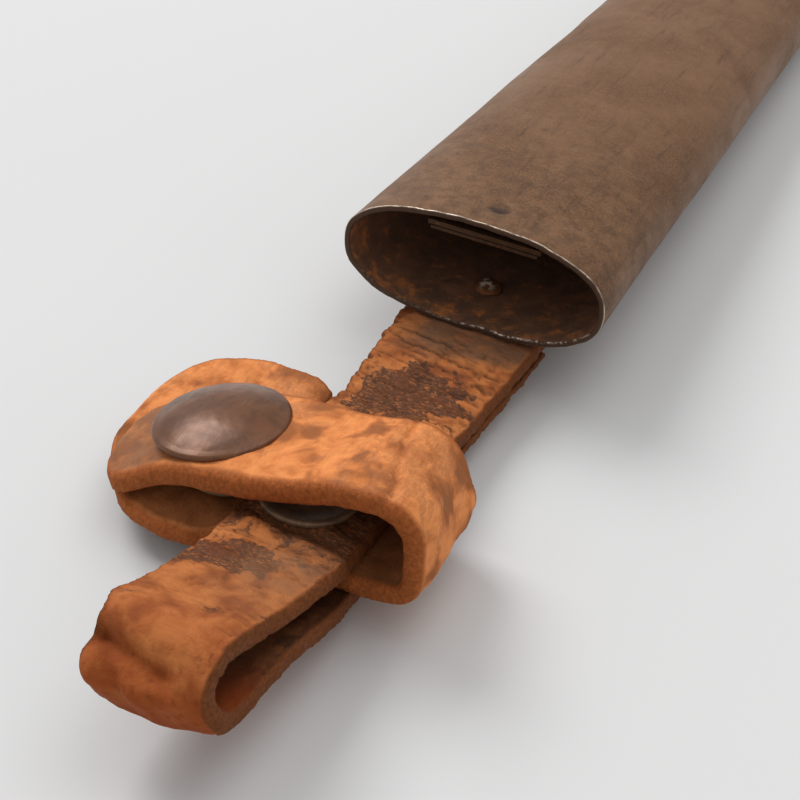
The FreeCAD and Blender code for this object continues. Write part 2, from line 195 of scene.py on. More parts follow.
def strap_mesh(name, route, placed, across, edges, thickness, relief, edge_radius, material, flat=44):
    """A strap swept along a route.

    placed turns the route's two numbers into a point, edges gives the two sides at a place along it,
    and relief gives (height, crack, worn, grey) at (length, across, side, centre).
    """
    section = strap_section(flat)
    total = route[-1][2]
    vertices = []
    values = {key: [] for key in ("strap", "rest", "crack_and_shade", "worn", "grey", "edge")}
    for here, direction, length in route:
        centre = placed(here.x, here.y)
        outside = placed(direction.y, -direction.x)
        left, right = edges(length, centre)
        nose = min(length, total - length) / edge_radius
        round_end = math.sqrt(max(0.0, 1 - (1 - min(nose, 1.0)) ** 2))
        full = round_end * (1 - NOSE_THICKNESS) + NOSE_THICKNESS
        half_thick = thickness(length, centre) / 2 * full
        radius = min(edge_radius, (right - left) / 2.2)
        for share, out, high, side_share in section:
            w = (left + right) / 2 + share * ((right - left) / 2 - radius) + out * radius
            side = 1 if high > 0 else -1
            # The second value darkens the colour: cracks, and on the tab the painted shade under the flap.
            raised, cracked, wear, greyed = relief(length, w, side, centre)
            # The cut edges are ragged, and the faces sink a little beside them.
            ragged = 0.28 * rough(length / 1.3, high * 1.4, share * 7 + 3)
            ragged += 0.16 * rough(length / 0.5, high * 2, share * 5)
            slump = -0.22 * abs(share) ** 8 * half_thick
            face_push = (raised + slump) * (1 - side_share)
            point = centre + outside * (half_thick * high + face_push * side * full)
            point = point + across * (w + math.copysign(ragged * side_share, share))
            vertices.append(point)
            values["strap"].append((length, w, high))
            values["rest"].append(tuple(point))
            values["crack_and_shade"].append(cracked * (1 - side_share))
            values["worn"].append(wear)
            values["grey"].append(greyed * (1 - side_share) if side > 0 else 0.0)
            values["edge"].append(side_share)
    faces = ring_faces(len(route), len(section)) + strap_caps(len(route), len(section), flat)
    return mesh_object(name, vertices, faces, values, [material])


def cross_cracks(length, w, seed, amount):
    """Short cracks that run across a strap where it has been flexed."""
    warp = 0.8 * rough(length / 6, w / 6, seed)
    value = rough(length / 1.7 + warp, w / 8, seed + 9, 2)
    return line_of_zero(value, 0.11) * amount


def hide_relief(length, w, seed):
    """The leather's broad lumps and its finer grain."""
    broad = 0.20 * rough(length / 7, w / 6, seed, 2)
    return broad + 0.07 * rough(length / 1.5, w / 1.8, seed + 4) + 0.03 * rough(length / 0.6, w / 0.7, seed)


# ---------------------------------------------------------------- node materials
# Colours are linear red, green and blue.
GREY_LEATHER = (0.195, 0.092, 0.048)
FOLD_DEEP_RED = (0.25, 0.047, 0.008)
STEEL_WARM = (0.185, 0.094, 0.044)
STEEL_DIM = (0.132, 0.066, 0.032)
FRECKLE = (0.36, 0.15, 0.060)
SOOT = (0.060, 0.034, 0.022)
DIMPLE_SHADE = (0.030, 0.016, 0.010)
RUST_SCALE = (0.135, 0.070, 0.042)
RUST_BLOOM = (0.240, 0.105, 0.050)
RUST_HOT = (0.50, 0.170, 0.045)
RIM_DARK = (0.085, 0.048, 0.029)
RIM_RUBBED = (0.62, 0.50, 0.40)
PEEN_RUST = (0.20, 0.072, 0.024)
PEEN_HIGHLIGHT = (0.85, 0.70, 0.56)
FLOOR_LIGHT = (0.64, 0.64, 0.64)
FLOOR_DIM = (0.63, 0.63, 0.63)
HANGER_LOOK = {
    "light": (0.48, 0.165, 0.048), "middle": (0.31, 0.086, 0.024), "dark": (0.066, 0.027, 0.014),
    "side": (0.17, 0.052, 0.015), "patchiness": 0.9, "stained": 0.45,
}
STRAP_LOOK = {
    "light": (0.76, 0.275, 0.088), "middle": (0.50, 0.150, 0.040), "dark": (0.19, 0.074, 0.030),
    "side": (0.36, 0.100, 0.025), "patchiness": 0.35, "stained": 0.85,
}
CAP_LOOK = {"base": (0.150, 0.060, 0.026), "chip": (0.23, 0.11, 0.055), "polish": 0.25}
RIVET_LOOK = {"base": (0.22, 0.13, 0.075), "chip": (0.5, 0.38, 0.26), "polish": 0.30}
WASHER_LOOK = {"base": (0.20, 0.13, 0.09), "chip": (0.45, 0.33, 0.24), "polish": 0.40}
BRASS_LOOK = {"base": (0.30, 0.20, 0.11), "chip": (0.62, 0.48, 0.30), "polish": 0.30}


def shade(colour, factor):
    """A colour made darker or lighter."""
    return [factor * part for part in colour]


class Shader:
    """Builds one node material. Its methods add nodes and hand back an output; finish ends it."""

    def __init__(self, name):
        self.material = bpy.data.materials.new(name)
        self.material.use_nodes = True
        self.tree = self.material.node_tree
        self.surface = self.tree.nodes["Principled BSDF"]

    def add(self, kind, inputs, output=0, **settings):
        """A new node. inputs holds fixed values or other nodes' outputs, settings its properties."""
        node = self.tree.nodes.new("ShaderNode" + kind)
        for key, value in settings.items():
            setattr(node, key, value)
        for key, value in inputs.items():
            if isinstance(value, bpy.types.NodeSocket):
                self.tree.links.new(value, node.inputs[key])
            else:
                node.inputs[key].default_value = value
        return node.outputs[output]

    def position(self):
        """The place on the object, in millimetres."""
        metres = self.add("TexCoord", {}, "Object")
        return self.add("VectorMath", {0: metres, "Scale": 1000.0}, operation="SCALE")

    def along(self, vector, axis):
        """One of a vector's three numbers: X, Y or Z."""
        return self.add("SeparateXYZ", {0: vector}, axis)

    def point_value(self, name):
        """A number kept on the mesh's points."""
        return self.add("Attribute", {}, "Fac", attribute_name=name)

    def point_vector(self, name):
        """A vector kept on the mesh's points."""
        return self.add("Attribute", {}, "Vector", attribute_name=name)

    def stretched(self, vector, sizes):
        """A place measured in units of its own size along each axis."""
        return self.add("VectorMath", {0: vector, 1: [1 / size for size in sizes]}, operation="MULTIPLY")

    def noise(self, vector, size, detail=4.0, roughness=0.6, twist=0.0):
        """Noise, 0 to 1, with features about size wide."""
        inputs = {"Vector": vector, "Scale": 1 / size, "Detail": detail, "Roughness": roughness,
                  "Distortion": twist}
        return self.add("TexNoise", inputs)

    def steps(self, value, low, high, start=0.0, end=1.0):
        """A soft step from start to end while value goes from low to high."""
        inputs = {"Value": value, "From Min": low, "From Max": high, "To Min": start, "To Max": end}
        return self.add("MapRange", inputs, interpolation_type="SMOOTHSTEP")

    def math(self, operation, first, second):
        """Two numbers combined, kept between 0 and 1."""
        return self.add("Math", {0: first, 1: second}, operation=operation, use_clamp=True)

    @staticmethod
    def opaque(colour):
        """A socket as it is, or a plain colour with its fourth number."""
        return colour if isinstance(colour, bpy.types.NodeSocket) else (*colour, 1.0)

    def mix(self, share, first, second):
        """The first colour at share 0 and the second at 1."""
        inputs = {0: share, 6: self.opaque(first), 7: self.opaque(second)}
        return self.add("Mix", inputs, 2, data_type="RGBA")

    def bump(self, height, depth, strength=1.0, under=None):
        """A normal bumped by height, depth millimetres deep, on top of another one if given."""
        inputs = {"Height": height, "Distance": depth * MM, "Strength": strength}
        if under:
            inputs["Normal"] = under
        return self.add("Bump", inputs)

    def finish(self, colour, roughness, normal, **fixed):
        """Connects the surface and hands back the material."""
        for key, socket in (("Base Color", colour), ("Roughness", roughness), ("Normal", normal)):
            self.tree.links.new(socket, self.surface.inputs[key])
        for key, value in fixed.items():
            self.surface.inputs[key.replace("_", " ")].default_value = value
        return self.material


def leather(name, light, middle, dark, side, patchiness, stained):
    """Worn vegetable-tanned leather: tan where rubbed, dark where the old surface is left."""
    s = Shader(name)
    rest, strap = s.point_vector("rest"), s.point_vector("strap")
    mottle = s.noise(rest, 5.0, 5.0, 0.62, 0.4)
    speckle = s.noise(s.stretched(strap, (0.30, 0.85, 1.0)), 1.0, 4.0, 0.72, 0.4)
    fibre = s.noise(s.stretched(strap, (0.5, 3.0, 0.6)), 1.0, 4.0, 0.65)
    colour = s.mix(s.steps(mottle, 0.36, 0.66), light, middle)
    colour = s.mix(s.steps(fibre, 0.5, 0.8, 0.0, 0.45), colour, shade(middle, 0.75))
    # The old dark surface: patches with a broken outline, and tan flecks where it has flaked off.
    worn = s.math("MULTIPLY", s.point_value("worn"), 0.42)
    patch = s.steps(s.math("ADD", s.noise(rest, 3.4, 6.0, 0.66, 0.6), worn), 0.63, 0.76)
    flecks = s.steps(speckle, 0.50, 0.62, patchiness, 0.3 * patchiness)
    colour = s.mix(s.math("MULTIPLY", patch, flecks), colour, dark)
    soft_stain = s.steps(s.noise(rest, 5.0, 2.0, 0.5, 0.3), 0.50, 0.68, 0.0, stained)
    colour = s.mix(soft_stain, colour, [0.3 * m + 0.7 * d for m, d in zip(middle, dark)])
    grey = s.math("MULTIPLY", s.point_value("grey"), s.steps(s.noise(rest, 3.0), 0.3, 0.6, 0.45, 1.0))
    colour = s.mix(grey, colour, GREY_LEATHER)
    # Darker in the cracks, and on the tab in the painted shade under the flap.
    colour = s.mix(s.math("MULTIPLY", s.point_value("crack_and_shade"), 0.8), colour, shade(dark, 0.45))
    # The side that the bends close in is painted darker: painted shade inside the loops.
    colour = s.mix(s.steps(s.along(strap, "Z"), 0.3, -0.3, 0.0, 0.72), colour, shade(dark, 0.75))
    # The front of the hanger's fold is a deeper, darker red, most of it low down.
    ahead = s.steps(s.along(rest, "Y"), -70.0, -80.0)
    lower = s.steps(s.along(rest, "Z"), -2.6, -6.0, 0.35, 0.85)
    red = s.math("MULTIPLY", ahead, s.math("MULTIPLY", lower, s.steps(mottle, 0.25, 0.6, 0.75, 1.0)))
    colour = s.mix(red, colour, FOLD_DEEP_RED)
    # The cut side shows coarse fibres, darker than the faces.
    bristle = s.noise(s.stretched(strap, (0.45, 1.0, 0.30)), 1.0, 3.0, 0.6)
    side_colour = s.mix(s.steps(bristle, 0.30, 0.70), shade(side, 0.70), shade(side, 1.08))
    colour = s.mix(s.steps(s.point_value("edge"), 0.25, 0.8), colour, side_colour)
    roughness = s.steps(patch, 0.0, 1.0, 0.78, 0.60)
    normal = s.bump(s.noise(rest, 1.3, 4.0, 0.6), 0.22, 0.8)
    normal = s.bump(fibre, 0.16, 0.7, normal)
    normal = s.bump(s.noise(rest, 0.28, 3.0, 0.6), 0.09, 0.9, normal)
    return s.finish(colour, roughness, normal, Specular_IOR_Level=0.12)


def browned_steel(name, tone=1.0):
    """Old blued sheet gone brown, with a fine tooth, darker clouds and rust freckles near the mouth."""
    s = Shader(name)
    place = s.position()
    cloud = s.noise(place, 11.0, 5.0, 0.6, 0.3)
    tooth = s.noise(place, 0.35, 3.0, 0.7)
    drawn = s.noise(s.stretched(place, (1.2, 9.0, 1.2)), 1.0, 4.0, 0.6)
    warm, dim = shade(STEEL_WARM, tone), shade(STEEL_DIM, tone)
    colour = s.mix(s.steps(cloud, 0.35, 0.68), warm, dim)
    colour = s.mix(s.steps(tooth, 0.42, 0.62, 0.0, 0.45), colour, shade(warm, 1.45))
    colour = s.mix(s.steps(drawn, 0.52, 0.74, 0.0, 0.5), colour, shade(dim, 0.5))
    # Freckles, soot and mottling thin out away from the mouth.
    near = s.steps(s.along(place, "Y"), 2.0, 60.0, 1.0, 0.18)
    freckle = s.steps(s.noise(place, 1.1, 5.0, 0.75, 0.3), 0.56, 0.68, 0.0, 0.8)
    colour = s.mix(s.math("MULTIPLY", freckle, near), colour, FRECKLE)
    soot = s.steps(s.noise(place, 1.7, 6.0, 0.78, 0.3), 0.55, 0.68, 0.0, 0.8)
    colour = s.mix(s.math("MULTIPLY", soot, near), colour, SOOT)
    mottle = s.steps(s.noise(place, 2.2, 6.0, 0.75), 0.44, 0.58, 0.0, 0.5)
    colour = s.mix(s.math("MULTIPLY", mottle, near), colour, shade(dim, 0.55))
    # Painted shade in the throat rivet's dimple.
    colour = s.mix(s.math("MULTIPLY", s.point_value("dimple_shade"), 0.9), colour, DIMPLE_SHADE)
    roughness = s.steps(cloud, 0.3, 0.7, 0.42, 0.58)
    normal = s.bump(s.noise(place, 3.0, 4.0, 0.6), 0.10, 0.6)
    normal = s.bump(tooth, 0.035, 0.9, normal)
    normal = s.bump(freckle, 0.02, 0.7, normal)
    return s.finish(colour, roughness, normal, Metallic=0.35, Specular_IOR_Level=0.22)


def rusty_steel(name):
    """Bare steel that has rusted: orange bloom, dark scale and pits."""
    s = Shader(name)
    place = s.position()
    bloom = s.noise(place, 3.2, 6.0, 0.68, 0.7)
    colour = s.mix(s.steps(bloom, 0.34, 0.72), RUST_SCALE, RUST_BLOOM)
    near = s.steps(s.along(place, "Y"), 0.0, 16.0, 0.10, 0.0)
    hot = s.steps(s.math("ADD", s.noise(place, 2.6, 6.0, 0.7, 0.4), near), 0.56, 0.78)
    colour = s.mix(hot, colour, RUST_HOT)
    roughness = s.steps(bloom, 0.35, 0.65, 0.62, 0.88)
    normal = s.bump(s.noise(place, 0.7, 5.0, 0.7), 0.12, 0.9)
    return s.finish(colour, roughness, normal, Metallic=0.2, Specular_IOR_Level=0.35)


def rim_steel(name):
    """The cut edge of the sheet: mostly dark, rubbed bright in broken stretches."""
    s = Shader(name)
    place = s.position()
    bright_mask = s.steps(s.noise(place, 2.4, 5.0, 0.7, 0.5), 0.38, 0.62, 0.25, 1.0)
    lip = s.point_value("lip")
    bright = s.math("MULTIPLY", bright_mask, s.steps(lip, 0.62, 0.95))
    # The lower lip's inner corner is rubbed in flecks, most of them on the right.
    rightward = s.steps(s.along(place, "X"), -8.0, 6.0, 0.2, 1.0)
    below = s.math("MULTIPLY", s.steps(s.along(place, "Z"), -1.5, -5.0), rightward)
    inner = s.math("MULTIPLY", s.steps(lip, 0.50, 0.18), below)
    flecks = s.steps(s.noise(place, 0.8, 4.0, 0.7), 0.48, 0.56)
    bright = s.math("MAXIMUM", bright, s.math("MULTIPLY", flecks, inner))
    colour = s.mix(bright, RIM_DARK, RIM_RUBBED)
    roughness = s.steps(bright, 0.0, 1.0, 0.62, 0.33)
    normal = s.bump(s.noise(place, 0.5, 4.0, 0.7), 0.10, 0.9)
    return s.finish(colour, roughness, normal, Metallic=0.65, Specular_IOR_Level=0.5)


def hammered_steel(name):
    """A peened rivet head: rusty round its sides, with a painted highlight of bright metal on top."""
    s = Shader(name)
    place = s.position()
    dents = s.noise(place, 1.1, 3.0, 0.6, 0.3)
    high = s.steps(s.along(place, "Z"), RIVET_TOP - 0.75, RIVET_TOP - 0.35)
    # The bright top is a painted highlight.
    bright_mask = s.math("MULTIPLY", s.steps(dents, 0.47, 0.56), high)
    colour = s.mix(bright_mask, PEEN_RUST, PEEN_HIGHLIGHT)
    roughness = s.steps(bright_mask, 0.0, 1.0, 0.7, 0.3)
    normal = s.bump(dents, 0.25, 0.9)
    return s.finish(colour, roughness, normal, Metallic=0.4, Specular_IOR_Level=0.4)


def fastener_metal(name, base, chip, polish):
    """Bronzed fastener metal, clouded and finely scratched; polish is its least roughness."""
    s = Shader(name)
    place = s.position()
    cloud = s.noise(place, 3.5, 5.0, 0.6, 0.4)
    scratch = s.noise(s.stretched(place, (0.25, 3.0, 3.0)), 1.0, 3.0, 0.6)
    colour = s.mix(s.steps(cloud, 0.38, 0.66), base, shade(base, 0.62))
    colour = s.mix(s.steps(scratch, 0.62, 0.72, 0.0, 0.5), colour, chip)
    roughness = s.steps(cloud, 0.3, 0.7, polish, polish + 0.10)
    normal = s.bump(s.noise(place, 0.8, 4.0, 0.6), 0.03, 0.8)
    normal = s.bump(scratch, 0.01, 0.6, normal)
    return s.finish(colour, roughness, normal, Metallic=0.20, Specular_IOR_Level=0.30)


def floor_paper(name):
    """Pale matt studio floor."""
    s = Shader(name)
    place = s.position()
    colour = s.mix(s.noise(place, 90.0, 2.0), FLOOR_LIGHT, FLOOR_DIM)
    roughness = s.steps(s.noise(place, 40.0), 0.0, 1.0, 0.85, 0.95)
    normal = s.bump(s.noise(place, 1.5), 0.01, 0.2)
    return s.finish(colour, roughness, normal, Specular_IOR_Level=0.1)


# ---------------------------------------------------------------- the sheath's shell
SHELL_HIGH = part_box("sheath_shell")[1] / MM
HALF_WIDTH = SHELL_HIGH.x
HALF_HEIGHT = SHELL_HIGH.z
LENGTH = SHELL_HIGH.y
WALL = 0.85
TAPER = 0.0011  # share of the mouth's size that is lost over each millimetre
SQUARENESS = 2.334  # the section's power: 2 is an ellipse, and more is squarer
TIP = 36.0  # length of the rounded tip
TIP_SQUARENESS = 2.2
THROAT = Vector((1.2, 5.7))  # where the throat rivet sits in the top face
RIVET_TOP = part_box("hanger_rivet_front")[1].z / MM
AROUND = 264  # points round the section
FINE = 14.0  # the mesh is finer from here to the mouth
RIM_STEPS = 6


def section_scale(y):
    """Size of the section at y as a share of the mouth: a straight taper, then a rounded tip."""
    share = max(0.0, y - (LENGTH - TIP)) / (TIP * 1.06)
    return (1 - TAPER * y) * (1 - share ** TIP_SQUARENESS) ** (1 / TIP_SQUARENESS)


def shell_dents(x, y, z, outward):
    """Height of the sheet above its ideal surface, shared by both faces so that the wall stays whole."""
    height = 0.16 * rough(x / 16, y / 24, z / 16, 2) * smooth(y, 0, 12)
    height += 0.035 * rough(x / 3, y / 4, z / 3, 2)
    # A shallow dent above and right of the mouth, and one along the left side.
    height -= 0.30 * hill(x, 11.5, 1.8) * hill(y, 9.0, 1.2) * (z > 0)
    height -= 0.55 * hill(y, 78, 7) * hill(outward.x, -0.95, 0.25)
    # The rim's lower lip is hammered a little out of line.
    near_rim = 1 - smooth(y, 0, 6)
    height -= near_rim * 0.35 * hill(x, 2.0, 2.6) * (z < 0)
    height += near_rim * 0.16 * rough(x / 5, 4.0, z / 5, 2)
    return height


def shell_point(angle, y, inset, jagged):
    """A point of the shell's section at y, with its dents. inset is 0 outside and WALL inside."""
    half_width = HALF_WIDTH * section_scale(y) - inset
    half_height = HALF_HEIGHT * section_scale(y) ** 0.75 - inset
    power = 2 / SQUARENESS
    across, up = math.cos(angle), math.sin(angle)
    x = math.copysign(abs(across) ** power, across) * half_width
    z = math.copysign(abs(up) ** power, up) * half_height
    steep = SQUARENESS - 1
    outward = Vector((
        math.copysign((abs(x) / half_width) ** steep / half_width, x), 0,
        math.copysign((abs(z) / half_height) ** steep / half_height, z),
    )).normalized()
    point = Vector((x, y + jagged, z)) + outward * shell_dents(x, y, z, outward)
    if inset < WALL / 2 and z > 0:
        # The throat rivet's head sits under a small dimple with a sunken ring round it.
        away = math.hypot(x - THROAT.x, y - THROAT.y)
        point.z -= 0.20 * (1 - smooth(away, 1.2, 2.2)) + 0.13 * hill(away, 1.6, 0.5)
    return point


def shell_stations():
    """(y, inset, lip) from the tip's outside to the mouth and back along the inside."""
    outer = [LENGTH - step for step in range(0, int(TIP))]
    y = LENGTH - TIP
    while y > FINE:
        outer.append(y)
        y -= 1.8
    y = FINE
    while y > 0.3:
        outer.append(y)
        y -= 0.34
    stations = [(y, 0.0, 0.0) for y in outer]
    for turn in range(RIM_STEPS + 1):
        # The rim turns from the outer face to the inner one, a little rounded at both corners.
        angle = math.pi * turn / RIM_STEPS
        out = math.copysign(abs(math.cos(angle)) ** 0.55, math.cos(angle))
        back = 0.22 * (1 - math.sin(angle) ** 0.6)
        stations.append((back, WALL / 2 * (1 - out), 1 - turn / RIM_STEPS))
    inner = 0.6
    while inner < LENGTH - 1:
        stations.append((inner, WALL, 0.0))
        inner += 0.6 if inner < 24 else 3.0
    stations.append((LENGTH, WALL, 0.0))
    return stations


def sheath_shell():
    """The whole sheet-steel tube: outer face, rim and inner face in one closed mesh."""
    stations = shell_stations()
    vertices, lip, dimple_shade = [], [], []
    for y, inset, lipped in stations:
        for index in range(AROUND):
            angle = 2 * math.pi * index / AROUND
            ragged = 0.0
            if y < 0.3:
                ragged = 0.07 * rough(angle * 9, 0.5, 2) + 0.05 * rough(angle * 45, 1.5, 2)
            point = shell_point(angle, y, inset, ragged)
            vertices.append(point)
            lip.append(lipped)
            # The dimple is painted dark as painted shade, most of all on the side towards the mouth.
            away = math.hypot(point.x - THROAT.x, y - THROAT.y)
            front = 0.30 + 0.70 * smooth(y - THROAT.y, 0.7, -0.9)
            dimple_shade.append((1 - smooth(away, 1.3, 2.0)) * front * (point.z > 0))
    faces = ring_faces(len(stations), AROUND, closed=True)
    first_rim = next(number for number, station in enumerate(stations) if station[2] == 1)
    kinds = []
    for ring in range(len(stations)):
        kind = 0 if ring < first_rim else 1 if ring < first_rim + RIM_STEPS else 2
        kinds.extend([kind] * AROUND)
    finishes = [browned_steel("sheath_outside"), rim_steel("sheath_rim"), rusty_steel("sheath_inside")]
    skin = mesh_object("sheath_skin", vertices, faces, {"lip": lip, "dimple_shade": dimple_shade}, finishes, kinds)
    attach(skin, "sheath")
    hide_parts("sheath_shell")


# ---------------------------------------------------------------- the hanger strap
# Its side view, from under the sheath out to the fold and back under the mouth: (y, z) corners.
HANGER_SIDE = [
    (48.0, -10.13), (0.0, -10.55), (-20.5, -11.25), (-29.0, -9.7), (-54.5, -9.7),
    (-68.0, -6.2), (-77.0, -2.6), (-83.2, -1.9), (-83.6, -12.5), (-68.0, -12.9),
    (-57.0, -16.0), (-30.0, -16.0), (-20.5, -13.45), (5.8, -12.6),
]
HANGER_RADII = [60, 20, 20, 30, 40, 11, 4.2, 4.9, 40, 30, 20, 20]
HANGER_HALF = 10.5  # half its width under the mouth
HANGER_THICK = 3.2
FOLD_LENGTH = 141.0  # along the strap, where the front fold is
PINCH = 130.6  # where a crease is pressed in across the strap before the fold

# Nicks in the left edge under the mouth: (place along, depth, half length).
NICKS = [(-2.6, 0.8, 0.35), (-6.6, 0.5, 0.7), (-11.9, 0.9, 0.40), (-15.4, 0.4, 0.3), (-20.6, 0.7, 0.6),
         (-23.0, 0.4, 0.3)]

# Long creases across the strap under the mouth: (place along, slope, reach from, reach to).
CREASES = [(-4.6, -0.10, -9, 2), (-7.3, -0.16, -9, 9), (-9.8, -0.13, -5, 6), (-11.9, -0.20, -9, 1),
           (-13.6, -0.12, -2, 9), (-17.2, -0.16, -9, -1), (-21.8, -0.12, -9, 2), (-26.0, -0.12, -6, 8)]

# Ridges across the upper leg: (middle, reach, spacing, height). The first are where it bends down
# from the mouth, the second before the belt loop.
RIDGES = [(-12.5, 7, 2.6, 0.24), (-54, 9, 4.6, 0.34)]

# Dark patches of old surface: (middle along, slope, half length, middle across, half width).
UPPER_PATCH = (-18.5, 0.30, 7.8, -0.6, 7.6)
LOWER_PATCH = (-62.0, 0.20, 3.6, -3.0, 7.5)
RIVET_STAIN = -47  # the leather is dark round the strap rivet

# Lumps where the strap turns over at the fold: (place across, height).
LUMPS = [(-5.0, 1.45), (0.4, 1.5), (5.0, 0.6)]


def hanger_edges(length, centre):
    """The strap narrows towards its fold; its left edge is nicked near the mouth."""
    y = centre.y
    left = -HANGER_HALF + 1.6 * smooth(y, 2, -24) + 2.2 * smooth(y, -24, -84)
    right = HANGER_HALF - 0.8 * smooth(y, 2, -24) - 1.3 * smooth(y, -24, -84)
    left += 0.35 * rough(length / 3.1, 1.0, 5.0)
    left += 0.24 * rough(length / 0.8, 2.0, 5.0) * smooth(y, -42, -30)
    right += 0.22 * rough(length / 3.0, 3.0, 5.0)
    if length < FOLD_LENGTH:
        for place, depth, spread in NICKS:
            left += depth * hill(y, place, spread)
    # The left side is pinched in and bulges where the strap turns over.
    pinched = 0.7 * hill(length, PINCH + 1, 1.3)
    bulge = 0.5 * hill(length, PINCH + 5, 2.4) + 0.6 * hill(length, PINCH - 4, 2)
    return left + pinched - bulge, right


def hanger_thickness(length, centre):
    """The return leg is pared thin towards its end."""
    if length < FOLD_LENGTH:
        return HANGER_THICK + 0.5 * hill(centre.y, -60, 12)
    return HANGER_THICK - 1.5 * smooth(centre.y, -32, -20) - 0.5 * smooth(centre.y, -10, -4)


def long_creases(y, w):
    """1 in the middle of a crease and 0 away from all of them."""
    deepest = 0.0
    for number, (place, slope, first, last) in enumerate(CREASES):
        line = place + slope * w + 0.55 * rough(w / 3.5, number, 6) + 0.12 * rough(w / 0.8, number, 2)
        within = smooth(w, first - 1.5, first + 1.5) * smooth(w, last + 1.5, last - 1.5)
        deepest = max(deepest, hill(y, line, 0.26) * within)
    return deepest


def patch_distance(patch, y, w):
    """0 in the middle of a patch and 1 on its outline."""
    along, slope, half_length, across, half_width = patch
    return math.hypot((y - along - slope * w) / half_length, (w - across) / half_width)


def hanger_relief(length, w, side, centre):
    """The hanger's (height, crack, worn, grey)."""
    y = centre.y
    if side < 0:
        cracked = cross_cracks(length, w, 3, 0.25)
        return hide_relief(length, w, 3) - 0.3 * cracked, cracked, 0.42, 0.0
    upper = smooth(length, FOLD_LENGTH + 2, FOLD_LENGTH - 3)
    height = hide_relief(length, w, 3)
    # The ridges wander and run a little askew.
    swing = y + 0.9 * rough(w / 6, 1, 8) + 0.14 * w
    for middle, reach, spacing, tall in RIDGES:
        height += upper * tall * math.sin(swing * 2 * math.pi / spacing) * hill(y, middle, reach)
    # The dark patches have broken outlines.
    ragged = 0.55 * rough(w / 3.2, y / 2.4, 11) + 0.25 * rough(w / 0.9, y / 0.9, 12)
    worn = 0.12 + 1.1 * smooth(patch_distance(UPPER_PATCH, y, w) + ragged, 1.12, 0.72)
    worn += 1.0 * smooth(patch_distance(LOWER_PATCH, y, w) + ragged, 1.15, 0.7)
    worn += 0.8 * hill(y, RIVET_STAIN, 8)
    # The old surface is grey in the mouth's shadow and on the right before the belt loop.
    grey = smooth(y, -9.0 + 0.32 * w + 2.0 * rough(w / 4, 1, 3), -4.5) * smooth(w, -9.5, -4.5)
    grey += 0.75 * hill(y, -60, 9) * smooth(w + 2.5 * rough(w / 4, y / 4, 9), -4, 4)
    # A ridge, a crease and the lumps where the strap turns over at the fold.
    crease = PINCH + 1.7 + 0.12 * w + 0.6 * rough(w / 3, 4, 4)
    height += 0.55 * hill(length, crease - 2.6, 1.6) * smooth(w, 7.0, 3.0)
    height -= 1.7 * hill(length, crease, 1.0) * smooth(w, 6.0, 2.0)
    for across, lump in LUMPS:
        height += lump * hill(w, across, 2.1) * hill(length, PINCH + 4.0, 1.8)
    flexed = 0.2 + upper * (0.8 * hill(y, -13, 9) + 0.5 * hill(y, -52, 12))
    flexed += 0.3 * hill(length, PINCH + 4, 5)
    cracked = cross_cracks(length, w, 3, min(flexed, 1.0))
    cracked = max(cracked, upper * smooth(y, -32, -28) * long_creases(y, w))
    return height - 0.42 * cracked, cracked, upper * worn + 0.2 * (1 - upper), upper * grey


def hanger_leather(material):
    """The hanger in one piece, over the joint where it comes out from under the sheath."""
    route = bend(HANGER_SIDE, HANGER_RADII, 0.42)
    strap = strap_mesh(
        "hanger_leather", route, lambda a, b: Vector((0, a, b)), Vector((1, 0, 0)), hanger_edges,
        hanger_thickness, hanger_relief, 0.9, material)
    for vertex in strap.data.vertices:
        x, y, z = vertex.co / MM
        # The free loop has taken a twist: its lower leg sits further right, and higher there.
        loop = smooth(y, -48, -62) * smooth(z, -4, -11)
        vertex.co.x += MM * 1.5 * loop
        vertex.co.z += MM * (0.3 + 2.0 * smooth(x, 0, 9)) * loop
    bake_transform(strap)
    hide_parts("hanger_strap", "hanger_strap_root")


# ---------------------------------------------------------------- the handle strap
STACK_Z = -12.95  # mid-height of the strap where it lies between the hanger's legs
# Its front view, from between the legs round the right-hand bend to the flap's end: (x, z) corners.
STRAP_SIDE = [(1.0, STACK_Z), (11.5, STACK_Z), (17.0, -11.6), (16.9, -5.2), (17.0, 1.4),
              (6.0, -0.3), (-4.0, -4.0), (-20.0, -6.9), (-28.0, -9.6)]
STRAP_RADII = [9.0, 3.4, 30, 5.2, 25, 30, 18]
STRAP_MIDDLE = -42.8
STRAP_HALF = 9.8
NEAR_CORNER = 6.5  # how far from the flap's end its near side starts to round in
FAR_CORNER = 13.5
BEND_CREASE = 30.6  # along the strap, where a crease crosses the right-hand bend
SNAP_CREASE = 41.0  # and where one crosses it beside the snap
HANDLE_STEP = 0.40
HANDLE_ROUTE = bend(STRAP_SIDE, STRAP_RADII, HANDLE_STEP)
HANDLE_TOTAL = HANDLE_ROUTE[-1][2] + HANDLE_STEP


def handle_edges(length, centre):
    """Parallel sides, then a rounded end whose front corner is the squarer one."""
    near = STRAP_MIDDLE - STRAP_HALF + 0.35 * rough(length / 7, 4, 1, 2)
    far = STRAP_MIDDLE + STRAP_HALF + 0.35 * rough(length / 7, 8, 1, 2)
    gone = HANDLE_TOTAL - length
    near_share = max(0.0, 1 - gone / NEAR_CORNER) ** 2.0
    far_share = max(0.0, 1 - gone / FAR_CORNER) ** 2.3
    tip = STRAP_MIDDLE - 2.0  # where the two rounded corners meet
    near = tip + (near - tip) * math.sqrt(max(0.0, 1 - near_share))
    far = tip + (far - tip) * math.sqrt(max(0.0, 1 - far_share))
    return min(near, tip - 1.2), max(far, tip + 1.2)


def handle_thickness(length, centre):
    """The flap is thicker than the part under the hanger."""
    return 3.4 + 0.7 * smooth(length, 18, 32)


